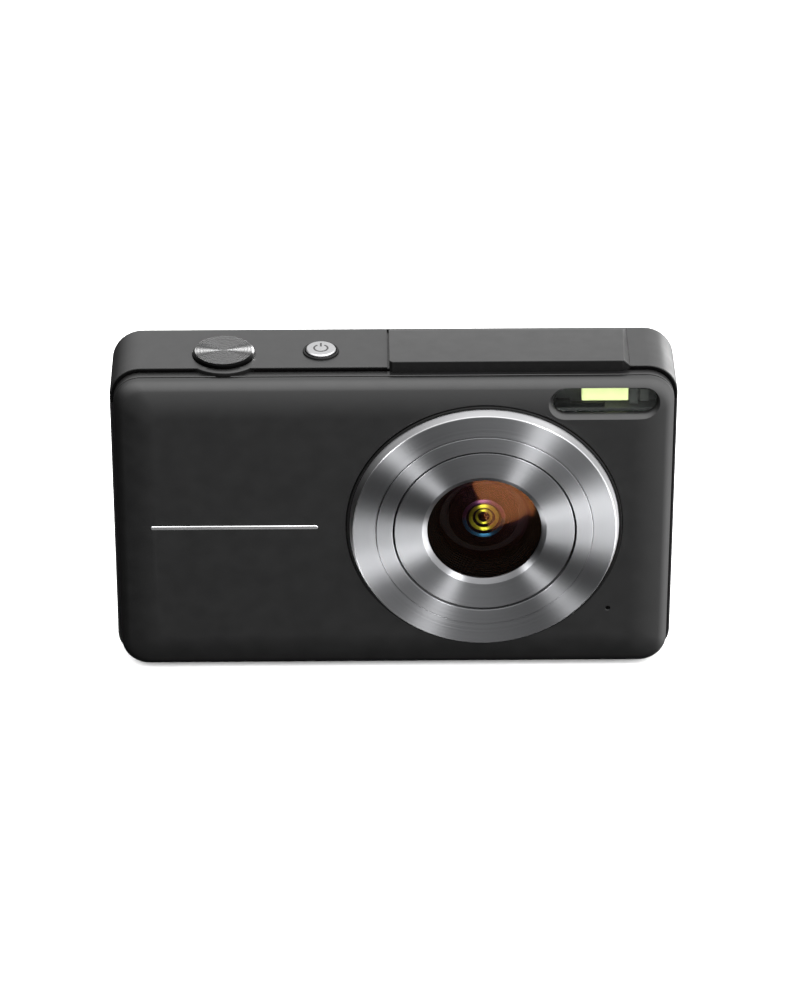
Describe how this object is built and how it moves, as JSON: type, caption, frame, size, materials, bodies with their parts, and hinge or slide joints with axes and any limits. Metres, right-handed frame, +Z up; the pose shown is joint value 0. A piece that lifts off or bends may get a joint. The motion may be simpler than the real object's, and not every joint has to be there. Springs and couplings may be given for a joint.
{
  "type": "compact digital camera",
  "caption": "Slim rectangular digital camera with a crowned front, a flat ringed lens, a raised top deck and a back with a display and keys.",
  "frame": {"origin": "under the middle of the camera's box, on the surface that it stands on", "axes": "+X to the right of someone looking at the lens, the lens faces -Y, +Z up"},
  "size_m": [0.104, 0.0242, 0.0641],
  "materials": {
    "body_paint": "fine satin black paint on a moulded shell",
    "black_plastic": "moulded black plastic",
    "spun_metal": "spun finish with fine concentric turning marks",
    "bright_trim": "bright plated",
    "lens_glass": "coated optical glass",
    "filter_glass": "tinted filter glass",
    "clear_plastic": "clear moulded window",
    "light_pipe": "frosted light pipe",
    "reflector": "dark moulded housing",
    "phosphor": "pale yellow-green phosphor",
    "display_cover": "glossy dark cover",
    "display_panel": "display module",
    "key_plastic": "satin black keys",
    "inner_plastic": "natural moulded plastic",
    "circuit_board": "green solder mask",
    "chip_black": "moulded chip body",
    "steel": "plain steel",
    "black_screw": "blackened screw",
    "brass": "turned brass",
    "rubber": "silicone rubber",
    "battery_wrap": "wrapped cell",
    "card_plastic": "moulded card"
  },
  "bodies": {
    "body": {"battery": "battery_wrap", "battery_contacts": "brass", "battery_tray": "black_plastic", "board_chips": "chip_black", "card_socket": "steel", "case_screws": "black_screw", "chassis_plate": "steel", "deck_carrier": "black_plastic", "deck_plate": "body_paint", "dome_switches": "steel", "door_hinge_pin": "steel", "flash_housing": "reflector", "flash_led": "phosphor", "flash_window": "clear_plastic", "front_rim": "body_paint", "front_shell": "body_paint", "image_sensor": "chip_black", "ir_filter": "filter_glass", "keypad_board": "circuit_board", "keypad_membrane": "rubber", "lcd_panel": "display_panel", "lcd_window": "display_cover", "lens_baffle": "black_plastic", "lens_barrel": "black_plastic", "lens_base_ring": "black_plastic", "lens_bezel_ring": "spun_metal", "lens_cone_ring": "spun_metal", "lens_front_element": "lens_glass", "lens_glass": "lens_glass", "lens_holder": "black_plastic", "lens_mid_ring": "spun_metal", "lens_rear_element": "lens_glass", "main_board": "circuit_board", "microphone": "chip_black", "power_bezel": "black_plastic", "rear_shell": "body_paint", "sensor_board": "circuit_board", "shutter_spring": "steel", "speaker": "black_plastic", "status_led": "light_pipe", "strap_bar": "steel", "top_cover": "body_paint", "top_switch_board": "circuit_board", "top_switches": "black_plastic", "trim_bar": "bright_trim", "tripod_nut": "brass", "usb_socket": "steel"},
    "shutter": {"shutter_button": "spun_metal"},
    "power": {"power_button": "bright_trim"},
    "zoom": {"zoom_rocker": "key_plastic"},
    "mode_key": {"mode_button": "key_plastic"},
    "menu_key": {"menu_button": "key_plastic"},
    "play_key": {"play_button": "key_plastic"},
    "delete_key": {"delete_button": "key_plastic"},
    "nav_gimbal": {"nav_pivot": "inner_plastic"},
    "nav": {"nav_ring": "key_plastic"},
    "ok": {"ok_button": "key_plastic"},
    "door": {"battery_door": "body_paint"},
    "latch": {"battery_latch": "body_paint"},
    "card": {"memory_card": "card_plastic"}
  },
  "joints": [
    {"name": "shutter_press", "type": "slide", "parent": "body", "child": "shutter", "axis": [0, 0, -1], "range_m": [0, 0.0005], "stiffness_N_per_m": 200, "deforming": ["shutter_spring"]},
    {"name": "power_press", "type": "slide", "parent": "body", "child": "power", "axis": [0, 0, -1], "range_m": [0, 0.0005], "stiffness_N_per_m": 120},
    {"name": "zoom_rock", "type": "hinge", "parent": "body", "child": "zoom", "pos_m": [-0.0325, 0.009, 0.0485], "axis": [0, 0, 1], "range_deg": [-2.5, 2.5], "stiffness_Nm_per_rad": 0.01},
    {"name": "mode_press", "type": "slide", "parent": "body", "child": "mode_key", "axis": [0, -1, 0], "range_m": [0, 0.0004], "stiffness_N_per_m": 60},
    {"name": "menu_press", "type": "slide", "parent": "body", "child": "menu_key", "axis": [0, -1, 0], "range_m": [0, 0.0004], "stiffness_N_per_m": 60},
    {"name": "play_press", "type": "slide", "parent": "body", "child": "play_key", "axis": [0, -1, 0], "range_m": [0, 0.0004], "stiffness_N_per_m": 60},
    {"name": "delete_press", "type": "slide", "parent": "body", "child": "delete_key", "axis": [0, -1, 0], "range_m": [0, 0.0004], "stiffness_N_per_m": 60},
    {"name": "nav_tilt_up_down", "type": "hinge", "parent": "body", "child": "nav_gimbal", "pos_m": [-0.0325, 0.00822, 0.0275], "axis": [1, 0, 0], "range_deg": [-1.5, 1.5], "stiffness_Nm_per_rad": 0.02},
    {"name": "nav_tilt_left_right", "type": "hinge", "parent": "nav_gimbal", "child": "nav", "pos_m": [-0.0325, 0.00822, 0.0275], "axis": [0, 0, 1], "range_deg": [-1.5, 1.5], "stiffness_Nm_per_rad": 0.02},
    {"name": "ok_press", "type": "slide", "parent": "body", "child": "ok", "axis": [0, -1, 0], "range_m": [0, 0.0004], "stiffness_N_per_m": 60},
    {"name": "battery_door_hinge", "type": "hinge", "parent": "body", "child": "door", "pos_m": [-0.0287, 0.00645, 0.00145], "axis": [1, 0, 0], "range_deg": [0, 95]},
    {"name": "battery_latch_slide", "type": "slide", "parent": "body", "child": "latch", "axis": [1, 0, 0], "range_m": [0, 0.0025]},
    {"name": "card_slide", "type": "slide", "parent": "body", "child": "card", "axis": [1, 0, 0], "range_m": [-0.0005, 0.012]}
  ]
}
